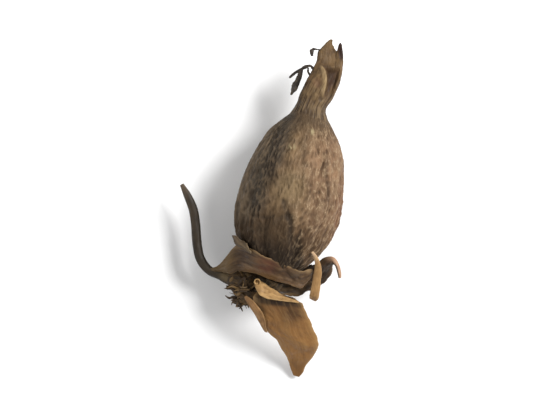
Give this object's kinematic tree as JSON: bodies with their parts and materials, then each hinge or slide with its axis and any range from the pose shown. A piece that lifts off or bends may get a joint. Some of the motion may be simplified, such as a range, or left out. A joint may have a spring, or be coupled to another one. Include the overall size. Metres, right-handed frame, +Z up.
{
  "type": "alligator pepper pod",
  "caption": "Dried wrinkled seed pod lying on its side, with a beak and withered calyx at one end and papery, curling bracts round a short broken stalk at the other.",
  "frame": {"origin": "middle of the small flat spot on the belly that the pod rests on", "axes": "+Y along the pod towards its beak, +Z up, +X to the right seen from the stalk"},
  "size_m": [0.0494, 0.0942, 0.0271],
  "materials": {
    "husk": "dry, finely wrinkled, matt",
    "calyx": "dry, veined, matt",
    "petal": "dry, shrivelled, slightly glossy",
    "stalk": "fibrous, matt",
    "dark_bract": "dry, papery, satin",
    "bract": "dry, papery, satin"
  },
  "bodies": {
    "root": {"husk": "husk", "calyx": "calyx", "petal_strand": "petal", "petal_shred": "petal", "petal_curl": "petal", "stalk": "stalk", "collar_bract": "dark_bract", "hanging_bract": "bract", "upright_bract": "bract", "lower_bract": "dark_bract"}
  },
  "joints": []
}
